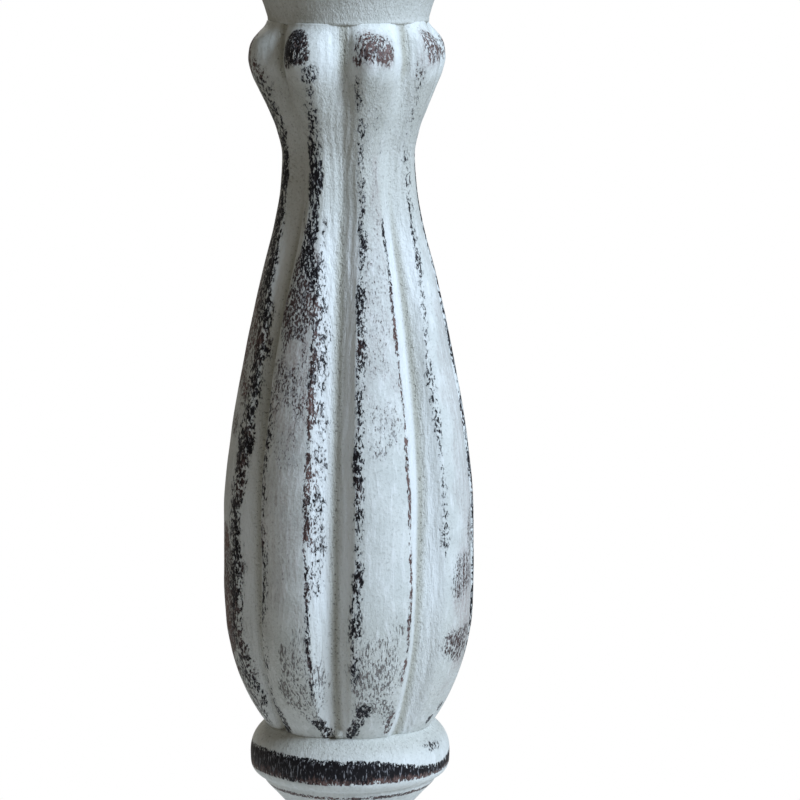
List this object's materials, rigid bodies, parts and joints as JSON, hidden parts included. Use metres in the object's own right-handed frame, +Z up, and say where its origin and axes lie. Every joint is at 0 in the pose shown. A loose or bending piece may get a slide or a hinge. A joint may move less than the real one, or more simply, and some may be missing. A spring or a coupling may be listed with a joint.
{
  "type": "candlestick",
  "caption": "Turned wooden candlestick with a lobed, carved body in worn off-white paint, a dish and steel pricket for a pillar candle.",
  "frame": {"origin": "centre of the foot's underside, on the surface that it stands on", "axes": "+Z up along the turning axis; -Y towards the viewer"},
  "size_m": [0.15, 0.15, 0.462],
  "materials": {
    "painted_wood": "off-white paint worn through to dark and red-brown wood",
    "bare_wood": "bare beech",
    "blackened_steel": "blackened, satin",
    "zinc_steel": "zinc plated",
    "felt": "dark green felt"
  },
  "bodies": {
    "root": {"foot_felt": "felt", "foot_disc": "painted_wood", "foot_washer": "zinc_steel", "foot_screw": "zinc_steel", "pedestal_spindle": "painted_wood", "pedestal_dowel": "bare_wood", "fluted_baluster": "painted_wood", "cup_dowel": "bare_wood", "candle_cup": "painted_wood", "drip_pan": "painted_wood", "drip_tray": "blackened_steel", "tray_screws": "zinc_steel", "pricket_spike": "blackened_steel"}
  },
  "joints": []
}
